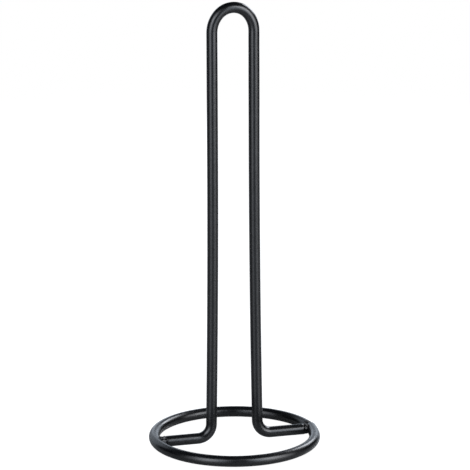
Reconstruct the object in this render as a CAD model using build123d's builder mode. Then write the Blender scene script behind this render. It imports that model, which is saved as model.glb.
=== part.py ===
"""Free-standing paper towel holder, welded from two lengths of round steel bar.

One bar is rolled into the base ring. The other is bent into an upright loop, whose two feet
turn outwards and are welded to the inside of the ring. A towel roll drops over the loop.

Units are millimetres. The origin is on the table, at the centre of the base ring. +Z is up,
and +X runs along the feet, towards the foot beside the seam that closes the ring.
"""

import os
from math import cos, degrees, radians, sin

from build123d import *

# Driving dimensions
ROD_RADIUS = 3.9  # round bar, over its coating
RING_RADIUS = 57.7  # bar's centre line in the base ring
HEIGHT = 320.5  # table to the top of the arch
ARCH_HALF_WIDTH = 15.2  # centre line, where the arch meets the legs
CROWN_RADIUS = 14.1  # tighter arc over the top of the arch
CROWN_HALF_ANGLE = 49.0
STRAIGHT_LEG = 84.0  # upright below the arch; under this each leg curves gently outwards
LEG_SPLAY = 1.08  # degrees that each leg leans outwards at its foot
FOOT_BEND_RADIUS = 10.0
FOOT_RISE = 0.5  # the feet's axis stands this much above the ring's
LEFT_WELD_GAP = 2.85  # between a foot's end and the inside of the ring
RIGHT_WELD_GAP = 1.45
END_CHAMFER = 0.5

# Seam that closes the ring, a little behind the right foot
SEAM_OFFSET = 5.4  # along the ring, from the feet's axis to the middle of the seam
SEAM_WIDTH = 2.4
SEAM_WELD_RADIUS = 3.2  # the weld stays below the bar's surface, as a groove

# Foot welds: a core, and lumps round its upper half
WELD_CORE_RADIUS = 3.0
WELD_LUMP_CIRCLE = 2.5
LEFT_LUMPS = [(-78, 1.0), (-30, 1.1), (22, 1.05), (64, 0.9)]  # degrees from the top, radius
RIGHT_LUMPS = [(-64, 0.95), (-8, 1.1), (40, 1.0), (84, 0.9)]

# Derived dimensions
ring_axis_height = ROD_RADIUS
foot_axis_height = ring_axis_height + FOOT_RISE
arch_top = HEIGHT - ROD_RADIUS
crown_sine = sin(radians(CROWN_HALF_ANGLE))
shoulder_radius = (ARCH_HALF_WIDTH - CROWN_RADIUS * crown_sine) / (1 - crown_sine)
spring_height = arch_top - CROWN_RADIUS + (CROWN_RADIUS - shoulder_radius) * cos(
    radians(CROWN_HALF_ANGLE)
)
bend_top = foot_axis_height + FOOT_BEND_RADIUS * (1 - sin(radians(LEG_SPLAY)))
leg_radius = (spring_height - STRAIGHT_LEG - bend_top) / sin(radians(LEG_SPLAY))
leg_offset = leg_radius * (1 - cos(radians(LEG_SPLAY)))
foot_start = ARCH_HALF_WIDTH + leg_offset + FOOT_BEND_RADIUS * cos(radians(LEG_SPLAY))
ring_inside = RING_RADIUS - ROD_RADIUS
left_foot_end = -(ring_inside - LEFT_WELD_GAP)
right_foot_end = ring_inside - RIGHT_WELD_GAP
seam_angle = degrees(SEAM_OFFSET / RING_RADIUS)
seam_half_angle = degrees(SEAM_WIDTH / 2 / RING_RADIUS)

os.makedirs("parts", exist_ok=True)


def ring_section(angle):
    """Plane square to the ring at an angle round +Z, centred on the bar."""
    direction = Vector(cos(radians(angle)), sin(radians(angle)), 0)
    centre = direction * RING_RADIUS + Vector(0, 0, ring_axis_height)
    return Plane(origin=centre, x_dir=direction, z_dir=direction.rotate(Axis.Z, 90))


# Base ring, open by the width of the seam, with both ends chamfered
with BuildPart() as base_ring:
    with BuildSketch(ring_section(seam_angle + seam_half_angle)):
        Circle(ROD_RADIUS)
    revolve(axis=Axis.Z, revolution_arc=360 - 2 * seam_half_angle)
    chamfer(base_ring.edges().filter_by(GeomType.CIRCLE).group_by(Edge.length)[0], END_CHAMFER)

# Weld that closes the ring, sunk below the surface of the bar
with BuildPart() as weld_ring_seam:
    with BuildSketch(ring_section(seam_angle - seam_half_angle)):
        Circle(SEAM_WELD_RADIUS)
    revolve(axis=Axis.Z, revolution_arc=2 * seam_half_angle)

# Upright loop: one bar, from the right foot's end over the arch to the left foot's end
with BuildPart() as upright_loop:
    with BuildLine(Plane.XZ) as centre_line:
        foot = Line((right_foot_end, foot_axis_height), (foot_start, foot_axis_height))
        bend = JernArc(foot @ 1, foot % 1, FOOT_BEND_RADIUS, -(90 - LEG_SPLAY))
        leg = JernArc(bend @ 1, bend % 1, leg_radius, -LEG_SPLAY)
        upright = Line(leg @ 1, leg @ 1 + Vector(0, 0, STRAIGHT_LEG))
        shoulder = JernArc(upright @ 1, upright % 1, shoulder_radius, 90 - CROWN_HALF_ANGLE)
        crown = JernArc(shoulder @ 1, shoulder % 1, CROWN_RADIUS, 2 * CROWN_HALF_ANGLE)
        shoulder = JernArc(crown @ 1, crown % 1, shoulder_radius, 90 - CROWN_HALF_ANGLE)
        upright = Line(shoulder @ 1, shoulder @ 1 - Vector(0, 0, STRAIGHT_LEG))
        leg = JernArc(upright @ 1, upright % 1, leg_radius, -LEG_SPLAY)
        bend = JernArc(leg @ 1, leg % 1, FOOT_BEND_RADIUS, -(90 - LEG_SPLAY))
        Line(bend @ 1, Vector(left_foot_end, 0, foot_axis_height))
    with BuildSketch(Plane(origin=centre_line.line @ 0, z_dir=centre_line.line % 0)):
        Circle(ROD_RADIUS)
    sweep()
    foot_ends = upright_loop.faces().filter_by(Plane.YZ)
    chamfer(foot_ends.edges(), END_CHAMFER)


def foot_weld(foot_end, side, lumps):
    """Weld from a foot's end into the ring: a core with lumps in the gap above it."""
    face = Plane(origin=(foot_end, 0, foot_axis_height), x_dir=(0, 1, 0), z_dir=(side, 0, 0))
    reach = RING_RADIUS - abs(foot_end)
    with BuildPart() as weld:
        with BuildSketch(face):
            Circle(WELD_CORE_RADIUS)
        extrude(amount=reach)
        for angle, radius in lumps:
            across = WELD_LUMP_CIRCLE * sin(radians(angle))
            above = WELD_LUMP_CIRCLE * cos(radians(angle))
            along = foot_end + side * radius
            with Locations((along, across, foot_axis_height + above)):
                Sphere(radius)
        add(base_ring.part, mode=Mode.SUBTRACT)
        add(upright_loop.part, mode=Mode.SUBTRACT)
    return weld


weld_left_foot = foot_weld(left_foot_end, -1, LEFT_LUMPS)
weld_right_foot = foot_weld(right_foot_end, 1, RIGHT_LUMPS)

pieces = {
    "base_ring": base_ring,
    "upright_loop": upright_loop,
    "weld_left_foot": weld_left_foot,
    "weld_right_foot": weld_right_foot,
    "weld_ring_seam": weld_ring_seam,
}
for name, piece in pieces.items():
    piece.part.label = name
    export_step(piece.part, f"parts/{name}.step")
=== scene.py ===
"""Paper towel holder: the visible model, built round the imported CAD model.

Everything is in metres, in the CAD model's frame: the origin is on the table at the centre of the
base ring, +Z is up, and +X runs along the feet, towards the one beside the ring's seam.
"""

import random
from math import ceil, cos, pi, radians, sin, sqrt, tan

import bmesh
import bpy
from mathutils import Matrix, Quaternion, Vector, noise


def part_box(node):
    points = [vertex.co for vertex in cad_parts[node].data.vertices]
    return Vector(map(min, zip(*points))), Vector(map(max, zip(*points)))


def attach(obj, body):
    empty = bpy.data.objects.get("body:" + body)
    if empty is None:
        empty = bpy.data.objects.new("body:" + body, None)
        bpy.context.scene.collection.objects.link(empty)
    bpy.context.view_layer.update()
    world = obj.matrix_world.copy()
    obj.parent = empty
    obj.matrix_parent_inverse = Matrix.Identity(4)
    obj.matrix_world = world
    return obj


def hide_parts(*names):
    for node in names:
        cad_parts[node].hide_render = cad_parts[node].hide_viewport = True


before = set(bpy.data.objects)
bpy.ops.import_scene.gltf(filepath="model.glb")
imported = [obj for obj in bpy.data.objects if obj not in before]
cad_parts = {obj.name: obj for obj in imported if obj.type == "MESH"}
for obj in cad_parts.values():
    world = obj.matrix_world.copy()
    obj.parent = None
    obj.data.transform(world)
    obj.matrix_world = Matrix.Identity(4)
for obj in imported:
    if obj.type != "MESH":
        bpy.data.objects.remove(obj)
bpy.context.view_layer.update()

# Sizes read from the CAD model
ring_low, ring_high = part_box("base_ring")
loop_low, loop_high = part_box("upright_loop")
bar = (ring_high.z - ring_low.z) / 2
ring_radius = ring_high.y - bar
foot_height = loop_low.z + bar
top_height = loop_high.z - bar

# The loop's bends, as in the CAD model
ARCH_HALF_WIDTH = 0.0152
CROWN_RADIUS = 0.0141
CROWN_HALF_ANGLE = radians(49.0)
STRAIGHT_LEG = 0.084  # under this, each leg curves gently outwards
LEG_SPLAY = radians(1.08)
FOOT_BEND_RADIUS = 0.010

# The joints, as in the CAD model
LEFT_WELD_GAP = 0.00285  # between a foot's end and the inside of the ring
RIGHT_WELD_GAP = 0.00145
SEAM_ANGLE = 0.0054 / ring_radius  # round the ring from the right foot
SEAM_GAP = 0.0024
SEAM_WELD_RADIUS = 0.0032
SPRUNG_OUT = 0.0008  # the ring's end beside the right foot stands this far out at the seam
SPRUNG_LENGTH = 0.012

# Meshes
SIDES = 56  # points round the bar
LONGEST_STEP = 0.0014  # between sections along a straight run
LARGEST_TURN = radians(2.0)  # between sections along a bend
EDGE_ROUNDING = 0.0005  # the coating rounds the bar's cut ends
EDGE_STEPS = 5
FACE_RINGS = (0.85, 0.5, 0.2)  # of the end's radius
COAT_UNEVENNESS = 0.00002
COAT_WAVE = 0.009
FINER_WAVES = 3  # as many to each coarse wave, and as much lower

# Welds, as lumps of metal run together
WELD_VOXEL = 0.00014
WELD_SMOOTHING = 12
LUMP_DETAIL = 3
CORE_LUMPS = 14  # round the core
CORE_ROWS = 5  # along it
CORE_LUMP = 0.0014  # radius
BEAD_LUMPS = 19  # round a foot
BEAD_ROWS = 4  # from the foot to the ring
BEAD_LUMP = (0.0009, 0.0013)  # smallest and largest radius
BEAD_TURN_SCATTER = (-0.3, 0.3)  # of the turn from lump to lump
BEAD_RADIUS_SCATTER = (-0.0003, 0.0002)
BEAD_ROW_PLACE = (0.2, 0.8)  # where in its row a lump may lie
LEFT_CORE_RADIUS = 0.0027
LEFT_BEAD_RADIUS = 0.0028  # to the middles of the lumps
LEFT_BARE = (30, 100)  # no bead between these angles, in degrees from the top towards the front
RIGHT_CORE_RADIUS = 0.0025
RIGHT_BEAD_RADIUS = 0.0026
RIGHT_BARE = (12, 110)
RIGHT_DROP = (Vector((0.0526, -0.0011, 0.0080)), 0.0008)  # centre and radius
SEAM_LUMP = 0.00105  # radius
SEAM_LUMP_SCATTER = (0.9, 1.1)
SEAM_CIRCLES = ((1, 0), (8, 0.0012), (18, SEAM_WELD_RADIUS - SEAM_LUMP))  # lumps, radius
CHANCE_SEED = 7


def trace(x, z, heading, moves):
    """Points and headings along a flat path. Each move is a length and the turn made along it."""
    path = [(x, z, heading)]
    for length, turn in moves:
        steps = ceil(max(length / LONGEST_STEP, abs(turn) / LARGEST_TURN))
        part, bend = length / steps, turn / steps
        chord = part * (sin(bend / 2) / (bend / 2) if bend else 1)
        for _ in range(steps):
            x += chord * cos(heading + bend / 2)
            z += chord * sin(heading + bend / 2)
            heading += bend
            path.append((x, z, heading))
    return path


def loop_path():
    """The loop's centre line in the XZ plane, from the right foot's end to the left foot's end."""
    crown_sine = sin(CROWN_HALF_ANGLE)
    shoulder_radius = (ARCH_HALF_WIDTH - CROWN_RADIUS * crown_sine) / (1 - crown_sine)
    spring = top_height - CROWN_RADIUS + (CROWN_RADIUS - shoulder_radius) * cos(CROWN_HALF_ANGLE)
    bend_top = foot_height + FOOT_BEND_RADIUS * (1 - sin(LEG_SPLAY))
    leg_radius = (spring - STRAIGHT_LEG - bend_top) / sin(LEG_SPLAY)
    leg_offset = leg_radius * (1 - cos(LEG_SPLAY))
    foot_start = ARCH_HALF_WIDTH + leg_offset + FOOT_BEND_RADIUS * cos(LEG_SPLAY)
    right_foot = loop_high.x - foot_start - EDGE_ROUNDING
    left_foot = -loop_low.x - foot_start - EDGE_ROUNDING
    bend_turn = pi / 2 - LEG_SPLAY
    shoulder_turn = pi / 2 - CROWN_HALF_ANGLE
    bend = (FOOT_BEND_RADIUS * bend_turn, -bend_turn)
    leg = (leg_radius * LEG_SPLAY, -LEG_SPLAY)
    shoulder = (shoulder_radius * shoulder_turn, shoulder_turn)
    crown = (CROWN_RADIUS * 2 * CROWN_HALF_ANGLE, 2 * CROWN_HALF_ANGLE)
    upright = (STRAIGHT_LEG, 0)
    arch = [shoulder, crown, shoulder]
    moves = [(right_foot, 0), bend, leg, upright, *arch, upright, leg, bend, (left_foot, 0)]
    return trace(loop_high.x - EDGE_ROUNDING, foot_height, pi, moves)


def section(centre, side, up, radius):
    """Points round one section of bar, under a coating that is slightly uneven."""
    points = []
    for i in range(SIDES):
        angle = 2 * pi * i / SIDES
        out = side * cos(angle) + up * sin(angle)
        point = centre + out * radius
        coarse = noise.noise(point / COAT_WAVE)
        fine = noise.noise(point * FINER_WAVES / COAT_WAVE) / FINER_WAVES
        points.append(point + out * (coarse + fine) * COAT_UNEVENNESS)
    return points


def bar_end(centre, outward, side):
    """Sections over one end of a bar, from its middle out: a flat face, then a rounded edge."""
    sections = []
    up = outward.cross(side)
    face_radius = bar - EDGE_ROUNDING
    for part in reversed(FACE_RINGS):
        sections.append(section(centre + outward * EDGE_ROUNDING, side, up, face_radius * part))
    for i in range(EDGE_STEPS):
        angle = pi / 2 * i / EDGE_STEPS
        place = centre + outward * EDGE_ROUNDING * cos(angle)
        sections.append(section(place, side, up, face_radius + EDGE_ROUNDING * sin(angle)))
    return sections


def tube(name, centres):
    """A closed mesh of bar through (centre, tangent, side) sections."""
    start, start_tangent, start_side = centres[0]
    end, end_tangent, end_side = centres[-1]
    sections = [list(reversed(points)) for points in bar_end(start, -start_tangent, -start_side)]
    for centre, tangent, side in centres:
        sections.append(section(centre, side, tangent.cross(side), bar))
    sections += reversed(bar_end(end, end_tangent, end_side))
    mesh = bmesh.new()
    rows = [[mesh.verts.new(point) for point in points] for points in sections]
    for row, following in zip(rows, rows[1:]):
        for i in range(SIDES):
            j = (i + 1) % SIDES
            mesh.faces.new((row[i], row[j], following[j], following[i]))
    mesh.faces.new(rows[0])
    mesh.faces.new(rows[-1])
    bmesh.ops.recalc_face_normals(mesh, faces=mesh.faces)
    return finish_mesh(name, mesh)


def finish_mesh(name, mesh):
    """A smooth-shaded object of a bmesh."""
    data = bpy.data.meshes.new(name)
    mesh.to_mesh(data)
    mesh.free()
    data.shade_smooth()
    piece = bpy.data.objects.new(name, data)
    bpy.context.scene.collection.objects.link(piece)
    return piece


def make_loop():
    centres = []
    for x, z, heading in loop_path():
        tangent = Vector((cos(heading), 0, sin(heading)))
        centres.append((Vector((x, 0, z)), tangent, Vector((0, 1, 0))))
    return tube("loop_bar", centres)


def make_ring():
    gap = (SEAM_GAP / 2 + EDGE_ROUNDING) / ring_radius
    start = SEAM_ANGLE + gap
    sweep = 2 * pi - 2 * gap
    last_stretch = SPRUNG_LENGTH / ring_radius
    steps = ceil(sweep * ring_radius / LONGEST_STEP)
    centres = []
    for i in range(steps + 1):
        angle = start + sweep * i / steps
        out = Vector((cos(angle), sin(angle), 0))
        tangent = Vector((-sin(angle), cos(angle), 0))
        sprung = max(1 - (sweep + start - angle) / last_stretch, 0) ** 2 * SPRUNG_OUT
        centres.append((out * (ring_radius + sprung) + Vector((0, 0, bar)), tangent, out))
    return tube("ring_bar", centres)


def weld(name, lumps):
    """Weld metal: (centre, radius) lumps run together into one skin."""
    mesh = bmesh.new()
    for centre, radius in lumps:
        place = Matrix.Translation(centre)
        bmesh.ops.create_icosphere(mesh, subdivisions=LUMP_DETAIL, radius=radius, matrix=place)
    piece = finish_mesh(name, mesh)
    remesh = piece.modifiers.new("skin", "REMESH")
    remesh.mode = "VOXEL"
    remesh.voxel_size = WELD_VOXEL
    smooth = piece.modifiers.new("flow", "SMOOTH")
    smooth.iterations = WELD_SMOOTHING
    evaluated = piece.evaluated_get(bpy.context.evaluated_depsgraph_get())
    skin = bpy.data.meshes.new_from_object(evaluated)
    piece.modifiers.clear()
    piece.data = skin
    skin.shade_smooth()
    return piece


def ring_inside(across, height):
    """How far along X the inner side of the ring is, at a place across the foot and a height."""
    sunk = sqrt(max(bar ** 2 - (height - bar) ** 2, 0))
    return sqrt((ring_radius - sunk) ** 2 - across ** 2)


def foot_weld(name, side, gap, core_radius, bead_radius, bare, drops, chance):
    """The weld that joins the end of a foot, on the +X side or the -X side, to the ring.

    It has a core, and a bead laid round it in rows from the foot to the ring. The bead leaves out
    the stretch between the two bare angles. Drops are extra lumps.
    """
    foot_end = ring_radius - bar - gap
    lumps = list(drops)
    for i in range(CORE_LUMPS):
        turn = 2 * pi * i / CORE_LUMPS
        across = (core_radius - CORE_LUMP) * sin(turn)
        height = foot_height + (core_radius - CORE_LUMP) * cos(turn)
        reach = ring_inside(across, height)
        for j in range(CORE_ROWS):
            along = foot_end + (reach - foot_end) * j / (CORE_ROWS - 1)
            lumps.append(((side * along, across, height), CORE_LUMP))
    for step in range(BEAD_LUMPS):
        angle = 360 * (step + chance.uniform(*BEAD_TURN_SCATTER)) / BEAD_LUMPS
        if bare[0] < angle < bare[1]:
            continue
        for row in range(BEAD_ROWS):
            circle = bead_radius + chance.uniform(*BEAD_RADIUS_SCATTER)
            across = -circle * sin(radians(angle))
            height = foot_height + circle * cos(radians(angle))
            share = (row + chance.uniform(*BEAD_ROW_PLACE)) / BEAD_ROWS
            along = foot_end + (ring_inside(across, height) - foot_end) * share
            lumps.append(((side * along, across, height), chance.uniform(*BEAD_LUMP)))
    return weld(name, lumps)


def seam_weld(name, chance):
    """The weld sunk in the ring's seam."""
    lumps = []
    out = Vector((cos(SEAM_ANGLE), sin(SEAM_ANGLE), 0))
    for count, circle in SEAM_CIRCLES:
        for i in range(count):
            turn = 2 * pi * i / count
            radius = ring_radius + circle * cos(turn)
            place = out * radius + Vector((0, 0, bar + circle * sin(turn)))
            lumps.append((place, SEAM_LUMP * chance.uniform(*SEAM_LUMP_SCATTER)))
    return weld(name, lumps)


# Coating
NOISE_SPAN = (0.3, 0.7)  # nearly all of a noise's values
PATCH_WAVES = 90  # waves to the metre
PATCH_DETAIL = 4
PATCH_EDGES = (0.35, 0.68)
DARK_COAT = (0.0022, 0.0024, 0.0028, 1)
LIGHT_COAT = (0.0040, 0.0043, 0.0050, 1)
SHEEN_WAVES = 160
SHEEN_DETAIL = 3
RUBBED_BELOW = 0.0008  # height above the table
RUBBED_MOST = 0.0002  # at this height and below
RUBBED_ROUGHNESS = 0.25  # added where it is rubbed most
BUMP_DETAIL = 2
BAR_ROUGHNESS = (0.24, 0.30)
BAR_BUMPS = ((350, 0.000006), (1400, 0.0000012))  # waves to the metre, height in metres
WELD_ROUGHNESS = (0.28, 0.40)
WELD_BUMPS = ((900, 0.000012), (2500, 0.000002))


def add_noise(nodes, links, place, scale, detail):
    """Noise in the object's own coordinates, with its scale in waves to the metre."""
    texture = nodes.new("ShaderNodeTexNoise")
    texture.inputs["Scale"].default_value = scale
    texture.inputs["Detail"].default_value = detail
    links.new(place, texture.inputs["Vector"])
    return texture.outputs["Fac"]


def add_range(nodes, links, value, lowest, highest):
    """Spreads a noise's usual span over a wanted span."""
    spread = nodes.new("ShaderNodeMapRange")
    spread.inputs["From Min"].default_value = NOISE_SPAN[0]
    spread.inputs["From Max"].default_value = NOISE_SPAN[1]
    spread.inputs["To Min"].default_value = lowest
    spread.inputs["To Max"].default_value = highest
    links.new(value, spread.inputs["Value"])
    return spread.outputs["Result"]


def coating(name, roughness, bumps):
    """Satin black powder coat over steel. Bumps are (waves to the metre, metres high) pairs."""
    material = bpy.data.materials.new(name)
    material.use_nodes = True
    nodes, links = material.node_tree.nodes, material.node_tree.links
    shader = nodes["Principled BSDF"]
    place = nodes.new("ShaderNodeTexCoord").outputs["Object"]

    # Blue-black, a little lighter in soft patches
    patches = add_noise(nodes, links, place, PATCH_WAVES, PATCH_DETAIL)
    tint = nodes.new("ShaderNodeValToRGB")
    colours = (DARK_COAT, LIGHT_COAT)
    for stop, position, colour in zip(tint.color_ramp.elements, PATCH_EDGES, colours):
        stop.position = position
        stop.color = colour
    links.new(patches, tint.inputs["Fac"])
    links.new(tint.outputs["Color"], shader.inputs["Base Color"])

    # Sheen that varies with the cure, and rubbed duller where the ring stands on the table
    mottle = add_noise(nodes, links, place, SHEEN_WAVES, SHEEN_DETAIL)
    sheen = add_range(nodes, links, mottle, *roughness)
    height = nodes.new("ShaderNodeSeparateXYZ")
    links.new(place, height.inputs["Vector"])
    rubbed = nodes.new("ShaderNodeMapRange")
    rubbed.inputs["From Min"].default_value = RUBBED_BELOW
    rubbed.inputs["From Max"].default_value = RUBBED_MOST
    rubbed.inputs["To Max"].default_value = RUBBED_ROUGHNESS
    links.new(height.outputs["Z"], rubbed.inputs["Value"])
    total = nodes.new("ShaderNodeMath")
    total.operation = "ADD"
    links.new(sheen, total.inputs[0])
    links.new(rubbed.outputs["Result"], total.inputs[1])
    links.new(total.outputs["Value"], shader.inputs["Roughness"])

    # Orange peel and the powder's fine grain
    normal = None
    for waves, rise in bumps:
        bump = nodes.new("ShaderNodeBump")
        bump.inputs["Distance"].default_value = rise
        links.new(add_noise(nodes, links, place, waves, BUMP_DETAIL), bump.inputs["Height"])
        if normal:
            links.new(normal, bump.inputs["Normal"])
        normal = bump.outputs["Normal"]
    links.new(normal, shader.inputs["Normal"])
    return material


def make_pieces():
    chance = random.Random(CHANCE_SEED)
    coat = coating("powder_coat", BAR_ROUGHNESS, BAR_BUMPS)
    weld_coat = coating("coated_weld", WELD_ROUGHNESS, WELD_BUMPS)
    left_sizes = (LEFT_WELD_GAP, LEFT_CORE_RADIUS, LEFT_BEAD_RADIUS, LEFT_BARE)
    right_sizes = (RIGHT_WELD_GAP, RIGHT_CORE_RADIUS, RIGHT_BEAD_RADIUS, RIGHT_BARE)
    left = foot_weld("left_weld", -1, *left_sizes, (), chance)
    right = foot_weld("right_weld", 1, *right_sizes, (RIGHT_DROP,), chance)
    seam = seam_weld("seam_weld", chance)
    for piece, node, slot, material in (
        (make_loop(), "upright_loop", "powder_coat", coat),
        (make_ring(), "base_ring", "powder_coat", coat),
        (left, "weld_left_foot", "coated_weld", weld_coat),
        (right, "weld_right_foot", "coated_weld", weld_coat),
        (seam, "weld_ring_seam", "coated_weld", weld_coat),
    ):
        piece.data.materials.append(material)
        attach(piece, "root")
        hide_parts(node)


# Camera
VIEW_AZIMUTH = radians(-15.62)
VIEW_ELEVATION = radians(14.52)
VIEW_DISTANCE = 2.2326
VIEW_HEIGHT = 0.15318  # the height that the camera aims at
VIEW_OFFSET = 0.00093  # and how far it aims to the right of the ring's centre
VIEW_ROLL = radians(-0.21)
LENS = 241.53  # in millimetres, as the sensor's width is
SENSOR_WIDTH = 36
FARTHEST_SEEN = 100


def direction(azimuth, elevation):
    """A unit vector. Azimuth 0 is the camera's side, and it grows to the camera's right."""
    turn = VIEW_AZIMUTH + azimuth
    level = Vector((sin(turn), -cos(turn), 0))
    return level * cos(elevation) + Vector((0, 0, sin(elevation)))


def make_camera():
    camera = bpy.data.objects.new("camera", bpy.data.cameras.new("camera"))
    bpy.context.scene.collection.objects.link(camera)
    camera.data.sensor_width = SENSOR_WIDTH
    camera.data.lens = LENS
    camera.data.clip_end = FARTHEST_SEEN
    back = direction(0, VIEW_ELEVATION)
    target = Vector((0, 0, VIEW_HEIGHT)) + direction(pi / 2, 0) * VIEW_OFFSET
    camera.location = target + back * VIEW_DISTANCE
    camera.rotation_mode = "QUATERNION"
    camera.rotation_quaternion = (-back).to_track_quat("-Z", "Y") @ Quaternion((0, 0, 1), VIEW_ROLL)
    bpy.context.scene.camera = camera


# Studio
LIGHT_DISTANCE = 1.2
LIGHT_AIM = Vector((0, 0, 0.16))
NEUTRAL = (0.97, 0.99, 1.03)
COOL = (0.95, 0.99, 1.06)
BLUE = (0.89, 0.99, 1.12)
FLOOR_SIZE = 8.0
FLOOR_ROUGHNESS = 0.3
WHITE_FLOOR_HEIGHT = -0.0002
GREY_FLOOR_HEIGHT = -0.0004
BLACK = (0, 0, 0, 1)
GREY = (0.4, 0.4, 0.4, 1)
WHITE = (1, 1, 1, 1)


def softbox(name, azimuth, elevation, spread, rise, brightness, colour):
    """A soft light that the camera doesn't see. Its angles are in degrees, as the object sees it."""
    away = direction(radians(azimuth), radians(elevation))
    light = bpy.data.lights.new(name, "AREA")
    light.shape = "RECTANGLE"
    light.size = 2 * LIGHT_DISTANCE * tan(radians(spread / 2))
    light.size_y = 2 * LIGHT_DISTANCE * tan(radians(rise / 2))
    light.energy = brightness * pi * light.size * light.size_y
    light.color = colour
    lamp = bpy.data.objects.new(name, light)
    lamp.location = LIGHT_AIM + away * LIGHT_DISTANCE
    lamp.rotation_euler = away.to_track_quat("Z", "Y").to_euler()
    lamp.visible_camera = False
    bpy.context.scene.collection.objects.link(lamp)


def floor(name, height, colour, glow):
    """A plain floor, grey and lit by the lamps, or white and evenly bright."""
    mesh = bmesh.new()
    bmesh.ops.create_grid(mesh, x_segments=1, y_segments=1, size=FLOOR_SIZE / 2)
    piece = finish_mesh(name, mesh)
    piece.location.z = height
    material = bpy.data.materials.new(name)
    material.use_nodes = True
    shader = material.node_tree.nodes["Principled BSDF"]
    shader.inputs["Base Color"].default_value = colour
    shader.inputs["Roughness"].default_value = FLOOR_ROUGHNESS
    shader.inputs["Emission Color"].default_value = WHITE
    shader.inputs["Emission Strength"].default_value = glow
    piece.data.materials.append(material)
    return piece


def make_studio():
    softbox("left_core", -36, 12, 24, 38, 4.5, COOL)
    softbox("left_inner", -17, 14, 14, 44, 2.0, BLUE)
    softbox("left_outer", -57, 14, 18, 44, 1.4, COOL)
    softbox("left_top", -36, 38, 42, 16, 2.1, COOL)
    softbox("left_glint", -33, 28, 22, 12, 2.6, NEUTRAL)
    softbox("right_core", 52, 14, 24, 38, 6.4, NEUTRAL)
    softbox("right_inner", 32, 14, 16, 44, 2.9, BLUE)
    softbox("right_outer", 73, 12, 18, 42, 2.5, NEUTRAL)
    softbox("right_top", 46, 38, 42, 16, 2.6, NEUTRAL)
    softbox("right_glint", 46, 29, 26, 12, 2.8, NEUTRAL)
    softbox("rear_right", 144, 29, 20, 22, 8.5, COOL)
    softbox("side_right", 124, 32, 20, 22, 1.8, NEUTRAL)
    softbox("far_right", 156, 9, 18, 30, 1.2, BLUE)
    softbox("back_right", 171, 6, 16, 24, 1.2, BLUE)
    softbox("rear_left", -134, 14, 22, 40, 0.8, BLUE)
    softbox("far_left", -154, 14, 18, 38, 0.7, BLUE)
    softbox("back_left", -171, 6, 16, 24, 1.35, BLUE)
    seen = floor("white_floor", WHITE_FLOOR_HEIGHT, BLACK, 1)
    seen.visible_diffuse = seen.visible_glossy = seen.visible_shadow = False
    grey = floor("grey_floor", GREY_FLOOR_HEIGHT, GREY, 0)
    grey.visible_camera = False
    world = bpy.data.worlds.new("studio")
    world.use_nodes = True
    world.node_tree.nodes["Background"].inputs["Color"].default_value = WHITE
    world.cycles_visibility.diffuse = False
    world.cycles_visibility.glossy = False
    bpy.context.scene.world = world
    bpy.context.scene.view_settings.view_transform = "Standard"


make_pieces()
make_camera()
make_studio()
